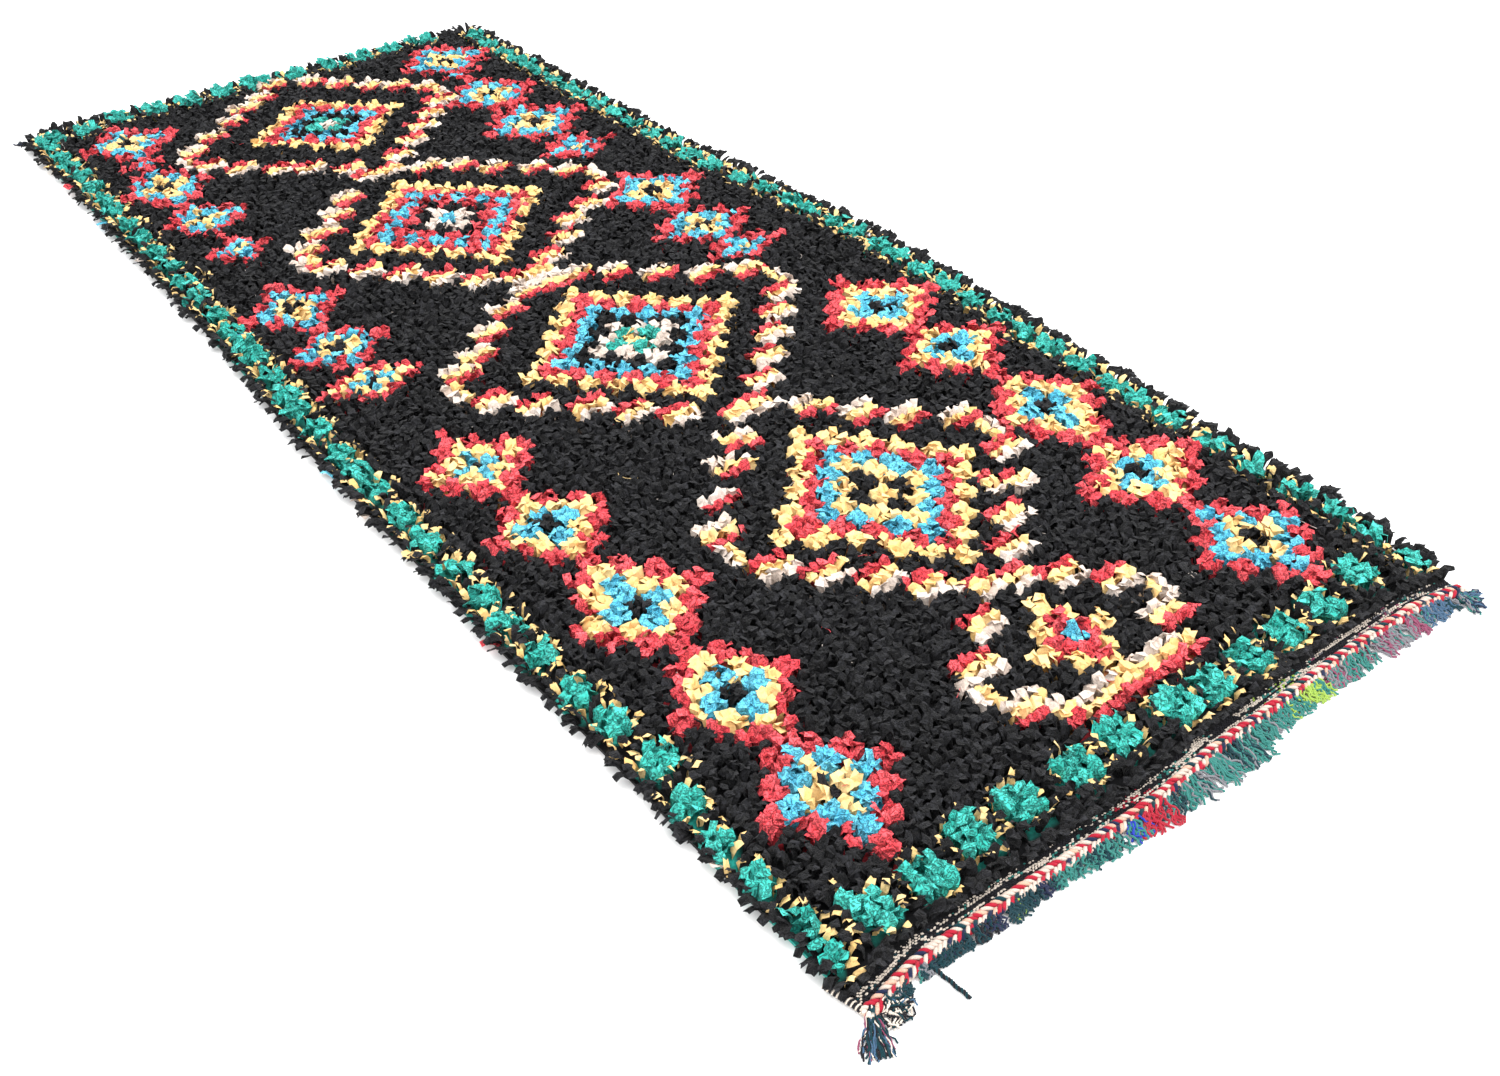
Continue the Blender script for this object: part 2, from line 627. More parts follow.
def strewing_tree():
    """Sets one of a few kinds on each point, turned, leant and sized, between floor and crown."""
    tree, given, result = new_tree(
        "strew on points",
        (
            ("Kinds", "NodeSocketCollection"),
            ("Smallest", "NodeSocketFloat"),
            ("Largest", "NodeSocketFloat"),
            ("Crown", "NodeSocketFloat"),
            ("Seed", "NodeSocketInt"),
            ("Material", "NodeSocketMaterial"),
        ),
    )
    nodes, links = tree.nodes, tree.links
    kinds = nodes.new("GeometryNodeCollectionInfo")
    kinds.inputs["Separate Children"].default_value = True
    kinds.inputs["Reset Children"].default_value = True
    links.new(given.outputs["Kinds"], kinds.inputs["Collection"])
    angles = nodes.new("ShaderNodeCombineXYZ")
    for name, axis in (("roll", "X"), ("lean", "Y"), ("turn", "Z")):
        links.new(point_value(tree, name, "FLOAT"), angles.inputs[axis])
    turned = nodes.new("FunctionNodeEulerToRotation")
    links.new(angles.outputs["Vector"], turned.inputs["Euler"])
    size = nodes.new("FunctionNodeRandomValue")
    size.data_type = "FLOAT"
    sockets = {socket.name: socket for socket in size.inputs if socket.enabled}
    links.new(given.outputs["Smallest"], sockets["Min"])
    links.new(given.outputs["Largest"], sockets["Max"])
    links.new(given.outputs["Seed"], sockets["Seed"])
    sized = next(socket for socket in size.outputs if socket.enabled)
    strew = nodes.new("GeometryNodeInstanceOnPoints")
    strew.inputs["Pick Instance"].default_value = True
    links.new(given.outputs["Geometry"], strew.inputs["Points"])
    links.new(kinds.outputs["Instances"], strew.inputs["Instance"])
    links.new(point_value(tree, "kind", "INT"), strew.inputs["Instance Index"])
    links.new(turned.outputs["Rotation"], strew.inputs["Rotation"])
    links.new(sized, strew.inputs["Scale"])
    real = nodes.new("GeometryNodeRealizeInstances")
    links.new(strew.outputs["Instances"], real.inputs["Geometry"])
    here = nodes.new("GeometryNodeInputPosition")
    parts = nodes.new("ShaderNodeSeparateXYZ")
    links.new(here.outputs["Position"], parts.inputs["Vector"])
    off_floor = worked_out(tree, "MAXIMUM", parts.outputs["Z"], FOOT)
    height = worked_out(tree, "MINIMUM", off_floor, given.outputs["Crown"])
    joined = nodes.new("ShaderNodeCombineXYZ")
    links.new(parts.outputs["X"], joined.inputs["X"])
    links.new(parts.outputs["Y"], joined.inputs["Y"])
    links.new(height, joined.inputs["Z"])
    kept = nodes.new("GeometryNodeSetPosition")
    links.new(real.outputs["Geometry"], kept.inputs["Geometry"])
    links.new(joined.outputs["Vector"], kept.inputs["Position"])
    end_tree(tree, given, result, kept.outputs["Geometry"])
    return tree


def run_tree(obj, tree, settings):
    """Runs the tree on the object with these settings, and keeps the result as its plain mesh."""
    bpy.context.scene.collection.objects.link(obj)
    modifier = obj.modifiers.new(tree.name, "NODES")
    modifier.node_group = tree
    for item in tree.interface.items_tree:
        if item.in_out == "INPUT" and item.name in settings:
            modifier[item.identifier] = settings[item.name]
    depsgraph = bpy.context.evaluated_depsgraph_get()
    made = bpy.data.meshes.new_from_object(
        obj.evaluated_get(depsgraph), preserve_all_data_layers=True, depsgraph=depsgraph
    )
    obj.modifiers.clear()
    obj.data = made
    return obj


Strewn = collections.namedtuple("Strewn", "place roll lean turn kind tint")
strew = strewing_tree()


def strewn_piece(name, spots, kinds, sizes, material):
    """One mesh of small things that stand at these spots."""
    mesh = bpy.data.meshes.new(name)
    mesh.from_pydata([spot.place for spot in spots], [], [])
    for angle in ("roll", "lean", "turn"):
        store(mesh, angle, "FLOAT", [getattr(spot, angle) for spot in spots])
    store(mesh, "kind", "INT", [spot.kind for spot in spots])
    store(mesh, "tint", "FLOAT_COLOR", [(*spot.tint, 1) for spot in spots])
    obj = bpy.data.objects.new(name, mesh)
    settings = {
        "Kinds": kinds,
        "Smallest": sizes[0],
        "Largest": sizes[1],
        "Crown": CROWN,
        "Seed": SEED,
        "Material": material,
    }
    return run_tree(obj, strew, settings)


def mixed(first, second, share):
    """A colour between two."""
    return tuple(a + (b - a) * share for a, b in zip(first, second))


# Where a knot's ends stand, and how they lean and turn, in degrees
KNOT_SETBACK = 0.0075
KNOT_WANDER = 0.0008
THIRD_END = 0.2
ENDS_SPREAD = 40
LEAN_SPREAD = 7
ROLL_SPREAD = 9
# How far a tooth and its knot's other end are pulled towards the green
Tooth = collections.namedtuple("Tooth", "pull partner partner_pull")
TEETH = {
    "black tooth": Tooth(pull=0.0065, partner="black", partner_pull=0.0),
    "green tooth": Tooth(pull=0.0010, partner="green", partner_pull=0.0045),
}
TOOTH_LOOK = 0.018
TOOTH_LOOKS = 8
TOOTH_SPREAD = 40
# The ways out of the rug, in degrees. Rim ends lean out over the floor, with one of them upright.
LEFTWARDS = 180
RIGHTWARDS = 0
FARWARDS = 90
NEARWARDS = 270
RIM_SHIFT = 0.006
LEFT_LEAN = 40
RIM_LEAN = 22
RIM_LEANS = (0.5, 1.2)
NEAR_LEAN = 8
UPRIGHT_LEAN = 3
UPRIGHT_END = 2
RIM_SPREAD = 28
RIM_RAGGED = 0.012
RIM_LUMPS = 30
STRAY_END = 1
STRAY_SHARE = 0.08
STRAY_COLOURS = ("red", "cream", "blue", "yellow")


def rims_at(row, column):
    """The ways out of the rug at a knot of its rim."""
    ways = []
    if column == 0:
        ways.append(LEFTWARDS)
    if column == KNOTS_ACROSS - 1:
        ways.append(RIGHTWARDS)
    if row == KNOT_ROWS - 1:
        ways.append(FARWARDS)
    return ways or ([NEARWARDS] if row == 0 else [])


def rim_stance(end, ways, knot, rng):
    """The turn, lean and shift of a strip end at the rug's rim."""
    if ways == [NEARWARDS]:
        return NEARWARDS + rng.gauss(0, RIM_SPREAD), NEAR_LEAN, 0
    turn = rng.choice(ways) + rng.gauss(0, RIM_SPREAD)
    at_left = LEFTWARDS in ways
    lean = (LEFT_LEAN if at_left else RIM_LEAN) * rng.uniform(*RIM_LEANS)
    ragged = RIM_RAGGED * noise.noise(knot * RIM_LUMPS)
    shift = ragged if at_left else ragged + RIM_SHIFT
    if end == UPRIGHT_END:
        lean = UPRIGHT_LEAN
        shift = shift if ways == [FARWARDS] else 0
    return turn, lean, shift


def rim_colour(end, ways, rng):
    """Black on the side rims, with a stray bright end here and there on the left one."""
    stray = LEFTWARDS in ways and end == STRAY_END and rng.random() < STRAY_SHARE
    return rng.choice(STRAY_COLOURS) if stray else "black"


def way_to_green(place):
    """The way from a tooth's knot to the green beside it."""
    way = Vector((0, 0, 0))
    for k in range(TOOTH_LOOKS):
        angle = 2 * math.pi * k / TOOTH_LOOKS
        look = Vector((math.cos(angle), math.sin(angle), 0))
        if charted_colour(place + look * TOOTH_LOOK) == "green":
            way += look
    return way.normalized()


def tied_knots():
    """Each knot's place on the cloth, its charted colour and the ways out of the rug there."""
    for row in range(KNOT_ROWS):
        for column in range(KNOTS_ACROSS):
            knot = cloth_point((column + 0.5) / KNOTS_ACROSS, (row + 0.5) * ROW_PITCH, GROUND_TOP)
            yield knot, charted_colour(knot), rims_at(row, column)


def knot_ends(rng):
    """Every strip end of the pile, by colour: two or three a knot, and four at the side rims."""
    ends = collections.defaultdict(list)
    for knot, charted, ways in tied_knots():
        place = knot + Vector((rng.gauss(0, KNOT_WANDER), rng.gauss(0, KNOT_WANDER), 0))
        tooth = TEETH.get(charted)
        to_green = way_to_green(knot) if tooth else Vector((0, 0, 0))
        at_side = LEFTWARDS in ways or RIGHTWARDS in ways
        first_turn = rng.uniform(0, 360)
        three = charted == "black" or bool(ways) or rng.random() < THIRD_END
        count = 3 if three else 2
        for end in range(count + at_side):
            colour = charted
            pull = 0
            turn = first_turn + 360 / count * end + rng.gauss(0, ENDS_SPREAD)
            lean = rng.gauss(0, LEAN_SPREAD)
            shift = -KNOT_SETBACK
            if tooth and end == 0:
                colour = "tooth"
                pull = tooth.pull
                away = math.degrees(math.atan2(-to_green.y, -to_green.x))
                turn = away + rng.gauss(0, TOOTH_SPREAD)
                shift = 0
            elif tooth:
                colour = tooth.partner
                pull = tooth.partner_pull
            if ways and (end or ways == [FARWARDS]):
                turn, lean, shift = rim_stance(end, ways, knot, rng)
                if at_side:
                    colour = rim_colour(end, ways, rng)
                    pull = 0
            angle = math.radians(turn)
            shifted = Vector((math.cos(angle), math.sin(angle), 0)) * shift
            if at_side and end:
                shifted.y += rng.uniform(-0.5, 0.5) * ROW_PITCH
            dye = DYES["yellow" if colour == "tooth" else colour]
            ends[colour].append(
                Strewn(
                    place=place + shifted + to_green * pull,
                    roll=math.radians(rng.gauss(0, ROLL_SPREAD)),
                    lean=math.radians(lean),
                    turn=angle,
                    kind=rng.randrange(STRIP_KINDS),
                    tint=mixed(dye.deep, dye.light, rng.random()),
                )
            )
    return ends


JERSEY_ROUGHNESS = 0.88
CREASE_WIDTH = 0.10
CREASE_CURL = 1.2
CREASE_BUMP = 0.8
CREASE_RELIEF = 0.0020
FACET_SCALE = 150
KNIT_SCALE = 900
KNIT_SHARE = 0.15


def jersey(name, crease_scale, crease_shade, facets, sheen):
    """Torn jersey: its tint, broken into facets and wandering dark creases, with a fine knit grain."""
    material, shader = new_material(name, JERSEY_ROUGHNESS)
    tree = material.node_tree
    crinkle = grain_of(tree, crease_scale, detail=1, curl=CREASE_CURL)
    off_crease = worked_out(tree, "ABSOLUTE", worked_out(tree, "SUBTRACT", crinkle, 0.5))
    level = spread_over(tree, off_crease, (0, CREASE_WIDTH), (crease_shade, 1))
    facet = tree.nodes.new("ShaderNodeTexVoronoi")
    facet.inputs["Scale"].default_value = FACET_SCALE
    tree.links.new(own_place(tree), facet.inputs["Vector"])
    facet_parts = tree.nodes.new("ShaderNodeSeparateColor")
    tree.links.new(facet.outputs["Color"], facet_parts.inputs["Color"])
    facet_level = spread_over(tree, facet_parts.outputs["Red"], (0, 1), (1 - facets, 1 + facets))
    link_tint(tree, shader, worked_out(tree, "MULTIPLY", level, facet_level))
    knit = grain_of(tree, KNIT_SCALE, detail=2)
    height = worked_out(tree, "MULTIPLY_ADD", knit, KNIT_SHARE, level)
    link_bump(tree, shader, height, CREASE_BUMP, CREASE_RELIEF)
    shader.inputs["Sheen Weight"].default_value = sheen
    return material


strips = {
    name: kinds_of(f"{name} strip", functools.partial(strip_mesh, cut), STRIP_KINDS)
    for name, cut in CUTS.items()
}
ends = knot_ends(random.Random(SEED))

# The black strips are most of the pile, so they come as several pieces
BLACK_PARTS = 4
black_jersey = jersey(
    "black jersey", crease_scale=160, crease_shade=0.12, facets=0.70, sheen=0.05
)
part_size = math.ceil(len(ends["black"]) / BLACK_PARTS)
for part in range(BLACK_PARTS):
    spots = ends["black"][part * part_size : (part + 1) * part_size]
    piece = strewn_piece(f"black_pile_{part + 1}", spots, strips["black"], STRIP_SIZES, black_jersey)
    show(piece, "pile_cloth")

# How dark the creases are in each dye: light shines through the pale ones
CREASE_SHADES = {"red": 0.22, "yellow": 0.88, "blue": 0.30, "green": 0.20, "cream": 0.80}
jerseys = {
    colour: jersey(
        f"{colour} jersey", crease_scale=135, crease_shade=shade, facets=0.07, sheen=0.03
    )
    for colour, shade in CREASE_SHADES.items()
}
for colour, cloth in jerseys.items():
    piece = strewn_piece(f"{colour}_pile", ends[colour], strips["bright"], STRIP_SIZES, cloth)
    show(piece, "pile_cloth")
teeth = strewn_piece(
    "yellow_teeth", ends["tooth"], strips["tooth"], TOOTH_SIZES, jerseys["yellow"]
)
show(teeth, "pile_cloth")

# Flatwoven web
# A few picks of thick mixed yarn, packed tight over the warps between the last row of knots and
# the edging. Each float over a warp shows as one short stitch.
STITCH_PITCH = 0.0046
STITCH_ROWS = 8
STITCH_ROW_PITCH = 0.0026
STITCH_SIZE = Vector((0.0048, 0.0028, 0.0024))
STITCH_PLUMPNESS = (0.9, 1.1)
STITCH_SIZES = (0.85, 1.15)
STITCH_KINDS = 3
WEB_LIFT = 0.0012
# How far a stitch leans and turns, in radians
STITCH_LEAN = 0.2
STITCH_TURN = 0.3
# Patches where the yarn is all cream or all black come from a noise along the web and up its rows
PATCH_SCALE = 18
PATCH_STEP = 0.4
PALE_PATCH = 0.22
DARK_PATCH = -0.12
YARNS = {
    "cream": (0.72, 0.63, 0.54),
    "pale cream": (0.60, 0.49, 0.42),
    "black": (0.008, 0.008, 0.012),
    "navy": (0.010, 0.016, 0.050),
    "teal": (0.003, 0.034, 0.045),
    "sea green": (0.030, 0.19, 0.165),
    "red": (0.38, 0.012, 0.030),
    "lime": (0.30, 0.45, 0.07),
    "mauve": (0.24, 0.055, 0.11),
    "grey": (0.19, 0.19, 0.21),
    "slate": (0.05, 0.11, 0.19),
    "blue": (0.015, 0.04, 0.40),
    "peach": (0.64, 0.38, 0.28),
}
# The yarns used from each place across, rightwards
WEB_ZONES = (
    (-0.60, ("black", "cream", "cream", "teal", "black")),
    (-0.40, ("cream", "black", "cream", "sea green", "cream", "black")),
    (-0.14, ("cream", "red", "red", "cream", "black")),
    (-0.08, ("cream", "black", "cream", "sea green", "black")),
    (0.13, ("cream", "lime", "sea green", "cream", "cream")),
    (0.26, ("cream", "mauve", "black", "grey", "cream")),
    (0.46, ("cream", "grey", "cream", "sea green", "black")),
)


def zone_yarns(zones, x):
    """The yarns of the last zone that starts left of x."""
    return [yarns for start, yarns in zones if start <= x][-1]


def stitch_mesh(name, rng):
    """A short plump float of yarn, pointed at both ends."""
    bm = bmesh.new()
    bmesh.ops.create_icosphere(bm, subdivisions=1, radius=0.5)
    bmesh.ops.scale(bm, verts=bm.verts, vec=STITCH_SIZE * rng.uniform(*STITCH_PLUMPNESS))
    mesh = bpy.data.meshes.new(name)
    bm.to_mesh(mesh)
    bm.free()
    return mesh


def web_stitches(rng):
    """All the floats of the web, a row for each pick, staggered like bricks."""
    spots = []
    left, right = read_off(EDGES, 0)
    count = int((right - left) / STITCH_PITCH)
    for row in range(STITCH_ROWS):
        stagger = (0.5 + row % 2) / 2
        for k in range(count):
            x = left + (k + stagger) * STITCH_PITCH
            y = -PILE_LENGTH / 2 + STITCH_ROW_PITCH / 2 - row * STITCH_ROW_PITCH + near_shift(x)
            patch = noise.noise(Vector((x * PATCH_SCALE, row * PATCH_STEP, 0)))
            yarn = rng.choice(zone_yarns(WEB_ZONES, x))
            if patch > PALE_PATCH:
                yarn = "cream"
            elif patch < DARK_PATCH:
                yarn = "black"
            spots.append(
                Strewn(
                    place=Vector((x, y, WEB_TOP + WEB_LIFT * rng.uniform(0, 1))),
                    roll=0.0,
                    lean=rng.uniform(-STITCH_LEAN, STITCH_LEAN),
                    turn=rng.gauss(0, STITCH_TURN),
                    kind=rng.randrange(STITCH_KINDS),
                    tint=YARNS[yarn],
                )
            )
    return spots


web_kinds = kinds_of("stitch", stitch_mesh, STITCH_KINDS)
plied_wool = wool("plied wool", roughness=0.92, grain_scale=1100, darkest=0.6)
web = strewn_piece(
    "web_weft", web_stitches(random.Random(SEED)), web_kinds, STITCH_SIZES, plied_wool
)
show(web, "pile_cloth")

# Twined edging
# Two rows of countertwining close the web: in each row thick strands of cream, red and navy wool
# turn about one another round the warps, one row to the left and one to the right.
ROW_OFFSET = 0.0044
EDGING_OFFSET = 0.0083
EDGING_MIDDLE = -PILE_LENGTH / 2 - WEB_WIDTH - EDGING_OFFSET
EDGING_ROWS = (-1, 1)
STRANDS = 3
STRAND_SIDES = 6
ROPE_RADIUS = 0.0031
STRAND_THICKNESS = 0.0053
TURN_LENGTH = 0.0205
STEPS_PER_TURN = 9
ROPE_HEIGHT = 0.0068
# The strands' uneven pull: how much they wander and slip, and how plump they are round a turn,
# each from a noise along the edging
WANDER = 0.0014
WANDER_SCALE = 45
SLIP = 1.8
SLIP_SCALE = 25
SLIP_ROW = 3
GIRTH = 0.72
TOP_GIRTH = 0.42
PLUMP = 0.35
PLUMP_SCALE = 90
PLUMP_ROW = 5


def spinning_tree():
    """Turns lines into round yarn."""
    tree, given, result = new_tree(
        "spin yarn",
        (
            ("Thickness", "NodeSocketFloat"),
            ("Sides", "NodeSocketInt"),
            ("Material", "NodeSocketMaterial"),
        ),
    )
    nodes, links = tree.nodes, tree.links
    lines = nodes.new("GeometryNodeMeshToCurve")
    links.new(given.outputs["Geometry"], lines.inputs["Mesh"])
    half = worked_out(tree, "MULTIPLY", given.outputs["Thickness"], 0.5)
    ring = nodes.new("GeometryNodeCurvePrimitiveCircle")
    links.new(given.outputs["Sides"], ring.inputs["Resolution"])
    links.new(half, ring.inputs["Radius"])
    yarn = nodes.new("GeometryNodeCurveToMesh")
    yarn.inputs["Fill Caps"].default_value = True
    links.new(lines.outputs["Curve"], yarn.inputs["Curve"])
    links.new(ring.outputs["Curve"], yarn.inputs["Profile Curve"])
    smooth = nodes.new("GeometryNodeSetShadeSmooth")
    links.new(yarn.outputs["Mesh"], smooth.inputs["Geometry"])
    real = nodes.new("GeometryNodeRealizeInstances")
    links.new(smooth.outputs["Geometry"], real.inputs["Geometry"])
    end_tree(tree, given, result, real.outputs["Geometry"])
    return tree


# A yarn's line, with the tint and the share of its full thickness at each point
Line = collections.namedtuple("Line", "points tints girths")
spin = spinning_tree()


def spun_piece(name, lines, thickness, sides, material):
    """One mesh of yarns that follow these lines."""
    points = []
    tints = []
    girths = []
    edges = []
    for line in lines:
        start = len(points)
        points.extend(line.points)
        tints.extend((*tint, 1) for tint in line.tints)
        girths.extend(line.girths)
        edges.extend((k, k + 1) for k in range(start, len(points) - 1))
    mesh = bpy.data.meshes.new(name)
    mesh.from_pydata(points, edges, [])
    store(mesh, "tint", "FLOAT_COLOR", tints)
    store(mesh, "radius", "FLOAT", girths)
    obj = bpy.data.objects.new(name, mesh)
    settings = {"Thickness": thickness, "Sides": sides, "Material": material}
    return run_tree(obj, spin, settings)


# The yarns that each of a row's strands is made of, turn by turn
STRAND_YARNS = (
    ("pale cream", "pale cream", "peach"),
    ("red", "red", "red", "pale cream"),
    ("pale cream", "navy", "red", "teal"),
)


def edging_y(x):
    """The edging's middle line."""
    return EDGING_MIDDLE + near_shift(x)


def uneven(x, scale, row, strand=0):
    """A smooth unevenness along the edging, different in each row and strand."""
    return noise.noise(Vector((x * scale, row, strand)))


def twined_strands(rng):
    """Three strands in each of the two rows, with the strands' colours changed here and there."""
    lines = []
    left, right = read_off(EDGES, 0)
    turns = (right - left) / TURN_LENGTH
    count = int(turns * STEPS_PER_TURN)
    for side in EDGING_ROWS:
        for strand in range(STRANDS):
            points = []
            tints = []
            girths = []
            tint = YARNS["cream"]
            for k in range(count + 1):
                x = left + (right - left) * k / count
                slip = SLIP * uneven(x, SLIP_SCALE, side * SLIP_ROW)
                turned = side * (2 * math.pi * k / STEPS_PER_TURN + slip)
                angle = turned + 2 * math.pi * strand / STRANDS
                wander = WANDER * uneven(x, WANDER_SCALE, side, strand)
                y = edging_y(x) + side * ROW_OFFSET + math.cos(angle) * ROPE_RADIUS + wander
                z = ROPE_HEIGHT + math.sin(angle) * ROPE_RADIUS + wander
                points.append(Vector((x, y, z)))
                if (k + strand * STEPS_PER_TURN // STRANDS) % STEPS_PER_TURN == 0:
                    tint = YARNS[rng.choice(STRAND_YARNS[strand])]
                tints.append(tint)
                plump = PLUMP * uneven(x, PLUMP_SCALE, PLUMP_ROW, strand)
                girths.append(GIRTH + TOP_GIRTH * math.sin(angle) + plump)
            lines.append(Line(points, tints, girths))
    return lines


strand_lines = twined_strands(random.Random(SEED))
twined_wool = wool("twined wool", roughness=0.9, grain_scale=900, darkest=0.7)
edging = spun_piece("twined_strands", strand_lines, STRAND_THICKNESS, STRAND_SIDES, twined_wool)
show(edging, "twined_edging")

# Fringe
# The warps' ends and spare weft are drawn together outside the edging and cut short. They are
# curly unspun wool, in another colour every hand's breadth. Near the left tassel one pair of warps
# is twisted into a thin loose cord.
CLUMPS = 54
CLUMP_YARNS = 14
CLUMP_SPREAD = 0.011
# How far a clump's heading strays and its yarns fan out, in radians
CLUMP_HEADING = 0.22
CLUMP_FAN = 0.42
MAIN_YARN_SHARE = 0.6
GREYING = 0.06
FRINGE_THICKNESS = 0.0031
YARN_SIDES = 5
FRINGE_CURL = 0.0036
FRINGE_POINTS = 8
CLUMP_REACHES = (0.8, 1.15)
YARN_REACHES = (0.65, 1)
LOWEST_YARN = 0.0018
FRINGE_START = 0.0065
FRINGE_HEIGHTS = (0.003, 0.010)
FRINGE_LEFT = -0.525
FRINGE_RIGHT = 0.515
FRINGE_REACHES = (
    (-0.55, 0.018),
    (-0.20, 0.022),
    (-0.12, 0.034),
    (-0.05, 0.038),
    (0.06, 0.045),
    (0.14, 0.028),
    (0.36, 0.036),
    (0.50, 0.032),
)
TWIST_START = Vector((-0.462, -1.439, 0.0017))
TWIST_HEADING = math.radians(278)
TWIST_REACH = 0.050
TWIST_RADIUS = 0.0017
TWIST_TURNS = 7
TWIST_STEPS = 6
TWIST_BOW = 0.010
TWIST_BOW_SCALE = 0.09
TWIST_TAPER = 0.6
# A curly yarn's swings, in radians from its root to its tip, its hops off the floor and its girths
SWINGS = (8, 13)
SWING_START = 3
HOPS = 9
HOP_HEIGHT = 0.8
ROOT_GIRTH = 1.15
TAPER = 0.5
FRINGE_ZONES = (
    (-0.60, ("teal", "grey", "sea green", "teal")),
    (-0.45, ("teal", "navy", "teal", "teal", "black")),
    (-0.340, ("lime", "teal", "teal")),
    (-0.32, ("teal", "teal", "navy")),
    (-0.275, ("sea green", "teal", "sea green")),
    (-0.16, ("sea green", "blue", "sea green")),
    (-0.125, ("red", "red", "red")),
    (-0.085, ("sea green", "sea green", "teal", "grey")),
    (0.14, ("lime", "lime", "sea green")),
    (0.25, ("grey", "mauve", "grey", "sea green")),
    (0.45, ("slate", "sea green", "teal", "grey")),
)


def curly_line(start, heading, reach, curl, tint, rng, points):
    """A yarn that wanders out from its start and comes down to the floor."""
    onwards = Vector((math.cos(heading), math.sin(heading), 0))
    sideways = Vector((-onwards.y, onwards.x, 0))
    made = []
    girths = []
    phase = rng.uniform(0, 2 * math.pi)
    for k in range(points):
        share = k / (points - 1)
        swing = math.sin(phase + share * rng.uniform(*SWINGS)) * curl * min(1, share * SWING_START)
        hop = abs(math.cos(phase + share * HOPS)) * curl * HOP_HEIGHT
        drop = start.z * (1 - share) + hop
        point = start + onwards * reach * share + sideways * swing
        made.append(Vector((point.x, point.y, max(LOWEST_YARN, drop))))
        girths.append(ROOT_GIRTH - TAPER * share)
    return Line(made, [tint] * points, girths)


def twist_lines(tints):
    """Two strands that turn about each other, on the floor."""
    onwards = Vector((math.cos(TWIST_HEADING), math.sin(TWIST_HEADING), 0))
    sideways = Vector((-onwards.y, onwards.x, 0))
    count = TWIST_TURNS * TWIST_STEPS
    lines = []
    for strand, tint in enumerate(tints):
        points = []
        for k in range(count + 1):
            angle = 2 * math.pi * TWIST_TURNS * k / count + math.pi * strand
            swing = sideways * math.cos(angle) + Vector((0, 0, 1 + math.sin(angle)))
            bend = noise.noise(Vector((k * TWIST_BOW_SCALE, TWIST_TURNS, 0)))
            bow = sideways * (bend * TWIST_BOW)
            points.append(
                TWIST_START + onwards * TWIST_REACH * k / count + swing * TWIST_RADIUS + bow
            )
        girths = [1.0 - TWIST_TAPER * k / count for k in range(count + 1)]
        lines.append(Line(points, [tint] * (count + 1), girths))
    return lines


def fringe_lines(rng):
    """All the short curly ends of the fringe, clump by clump, and one loose twist."""
    lines = []
    for clump in range(CLUMPS):
        middle = FRINGE_LEFT + (FRINGE_RIGHT - FRINGE_LEFT) * (clump + rng.random()) / CLUMPS
        heading = math.radians(NEARWARDS) + rng.gauss(0, CLUMP_HEADING)
        reach = read_off(FRINGE_REACHES, middle)[0] * rng.uniform(*CLUMP_REACHES)
        yarns = zone_yarns(FRINGE_ZONES, middle)
        main = rng.choice(yarns)
        for _ in range(CLUMP_YARNS):
            x = middle + rng.uniform(-CLUMP_SPREAD, CLUMP_SPREAD)
            fan = heading + (x - middle) / CLUMP_SPREAD * CLUMP_FAN
            start = Vector((x, edging_y(x) - FRINGE_START, rng.uniform(*FRINGE_HEIGHTS)))
            tint = YARNS[main if rng.random() < MAIN_YARN_SHARE else rng.choice(yarns)]
            tint = mixed(tint, YARNS["grey"], rng.uniform(0, GREYING))
            length = reach * rng.uniform(*YARN_REACHES)
            lines.append(curly_line(start, fan, length, FRINGE_CURL, tint, rng, FRINGE_POINTS))
    return lines + twist_lines((YARNS["teal"], YARNS["black"]))


short_ends = fringe_lines(random.Random(SEED))
fringe = spun_piece("fringe_yarns", short_ends, FRINGE_THICKNESS, YARN_SIDES, plied_wool)
show(fringe, "fringe")

# Corner tassels and far tails
# The selvedge cords and the last warps of each corner are knotted and left hanging as a bunch of
# plied yarns. The left selvedge shows its cream and black winding down to its tassel.
# A bunch's heading and its fan are in degrees
Bunch = collections.namedtuple("Bunch", "name node root heading fan reach yarns curl dyes")
BUNCHES = (
    Bunch(
        "left_tassel_yarns",
        "tassel_left",
        root=Vector((-0.548, -1.4325, 0.006)),
        heading=240, fan=46, reach=0.064, yarns=64, curl=0.0022,
        dyes=(
            "teal", "black", "teal", "black", "teal", "cream", "black", "slate", "teal", "black",
            "mauve",
        ),
    ),
    Bunch(
        "left_corner_curls",
        "tassel_left",
        root=Vector((-0.534, -1.437, 0.008)),
        heading=292, fan=130, reach=0.034, yarns=30, curl=0.0060,
        dyes=("cream", "black", "cream", "black", "slate", "teal"),
    ),
    Bunch(
        "right_tassel_yarns",
        "tassel_right",
        root=Vector((0.531, -1.4225, 0.006)),
        heading=300, fan=95, reach=0.040, yarns=44, curl=0.0030,
        dyes=("navy", "slate", "slate", "teal", "sea green", "grey"),
    ),
    Bunch(
        "far_left_tail_yarns",
        "far_tail_left",
        root=Vector((-0.573, 1.388, 0.0056)),
        heading=118, fan=40, reach=0.032, yarns=12, curl=0.0012,
        dyes=("black", "teal", "navy"),
    ),
    Bunch(
        "far_right_tail_yarns",
        "far_tail_right",
        root=Vector((0.543, 1.388, 0.0056)),
        heading=52, fan=60, reach=0.028, yarns=16, curl=0.0020,
        dyes=("slate", "grey", "navy"),
    ),
)
BUNCH_THICKNESS = 0.0024
BUNCH_POINTS = 9
BUNCH_REACHES = (0.7, 1.0)
BUNCH_HEIGHTS = (-0.003, 0.004)
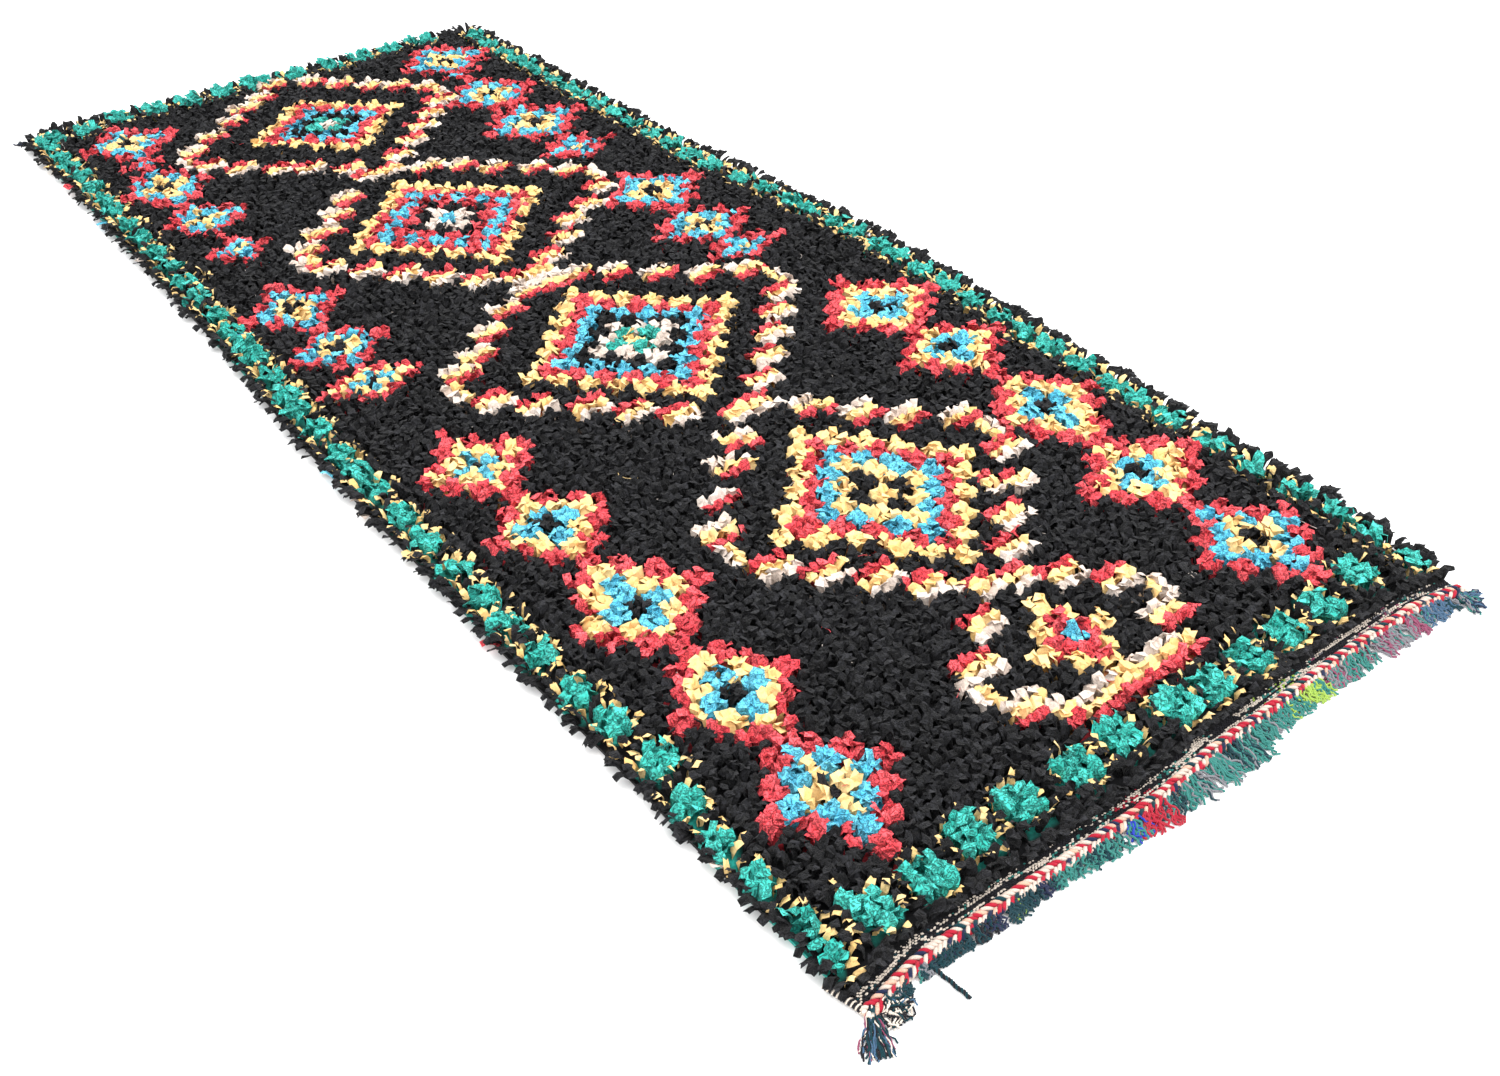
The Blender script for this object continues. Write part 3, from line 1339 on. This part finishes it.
BUNCH_ROOT = 0.003
HEAD_RADIUS = 0.0042
HEAD_LENGTH = 0.009
HEAD_TURNS = 4
SELVEDGE_START = Vector((-0.570, -1.384, 0.0060))
SELVEDGE_END = Vector((-0.558, -1.432, 0.0064))
SELVEDGE_TURNS = 16
SELVEDGE_RADIUS = 0.0040
WINDING_STEPS = 8


def winding(start, end, radius, turns, tints):
    """A yarn wound round a core, its tint changed at every turn."""
    axis = (end - start).normalized()
    sideways = axis.cross(Vector((0, 0, 1)))
    upwards = sideways.cross(axis)
    count = turns * WINDING_STEPS
    points = []
    colours = []
    for k in range(count + 1):
        angle = 2 * math.pi * k / WINDING_STEPS
        off = sideways * math.cos(angle) + upwards * math.sin(angle)
        points.append(start.lerp(end, k / count) + off * radius)
        colours.append(tints[k // WINDING_STEPS % len(tints)])
    return Line(points, colours, [1.0] * len(points))


def bunch_lines(bunch, rng):
    """A knotted head of a few turns, with the yarns fanned out of it."""
    lines = []
    heading = math.radians(bunch.heading)
    onwards = Vector((math.cos(heading), math.sin(heading), 0))
    for _ in range(bunch.yarns):
        turn = heading + math.radians(rng.uniform(-0.5, 0.5) * bunch.fan)
        off = Vector((math.cos(turn), math.sin(turn), 0)) * BUNCH_ROOT
        start = bunch.root + off + Vector((0, 0, rng.uniform(*BUNCH_HEIGHTS)))
        tint = YARNS[rng.choice(bunch.dyes)]
        reach = bunch.reach * rng.uniform(*BUNCH_REACHES)
        lines.append(curly_line(start, turn, reach, bunch.curl, tint, rng, BUNCH_POINTS))
    head = [YARNS[name] for name in bunch.dyes[:3]]
    far_end = bunch.root + onwards * HEAD_LENGTH
    return lines + [winding(bunch.root, far_end, HEAD_RADIUS, HEAD_TURNS, head)]


for bunch in BUNCHES:
    lines = bunch_lines(bunch, random.Random(bunch.name))
    if bunch.name == "left_tassel_yarns":
        tints = (YARNS["cream"], YARNS["black"])
        lines.append(winding(SELVEDGE_START, SELVEDGE_END, SELVEDGE_RADIUS, SELVEDGE_TURNS, tints))
    piece = spun_piece(bunch.name, lines, BUNCH_THICKNESS, YARN_SIDES, plied_wool)
    show(piece, bunch.node)

# Stray threads and lint
# Threads of the torn cloth that have worked loose and lie on the pile, and white specks of lint.
THREAD_THICKNESS = 0.0009
THREAD_SIDES = 4
THREADS = 46
SPECKS = 120
THREADS_ACROSS = (0.03, 0.97)
THREADS_ALONG = (0.03, 0.98)
THREAD_HEIGHTS = (0.021, 0.026)
THREAD_LENGTHS = (0.015, 0.045)
THREAD_STEPS = 6
SPECK_STEP_LENGTHS = (0.0006, 0.0013)
SPECK_STEPS = 3
THREAD_CURVE = 0.35
THREAD_WOBBLE = 0.2
THREAD_RISES = (-0.2, 0.25)
THREAD_DYES = ("cream", "cream", "cream", "yellow", "red", "blue")


def loose_lines(rng):
    """Curved threads 15 to 45 mm long, and specks of 2 to 4 mm."""
    lines = []
    for number in range(THREADS + SPECKS):
        long = number < THREADS
        steps = THREAD_STEPS if long else SPECK_STEPS
        across = rng.uniform(*THREADS_ACROSS)
        place = cloth_point(across, rng.uniform(*THREADS_ALONG) * PILE_LENGTH, 0)
        place.z = rng.uniform(*THREAD_HEIGHTS)
        heading = rng.uniform(0, 2 * math.pi)
        step = rng.uniform(*THREAD_LENGTHS) / steps if long else rng.uniform(*SPECK_STEP_LENGTHS)
        tint = DYES[rng.choice(THREAD_DYES) if long else "cream"].light
        curve = rng.gauss(0, THREAD_CURVE)
        points = []
        for _ in range(steps + 1):
            points.append(place.copy())
            heading += curve + rng.gauss(0, THREAD_WOBBLE)
            rise = rng.uniform(*THREAD_RISES)
            place += Vector((math.cos(heading), math.sin(heading), rise)) * step
        lines.append(Line(points, [tint] * len(points), [1.0] * len(points)))
    return lines


stray_lines = loose_lines(random.Random(SEED))
threads = spun_piece("stray_threads", stray_lines, THREAD_THICKNESS, THREAD_SIDES, plied_wool)
show(threads, "pile_cloth")
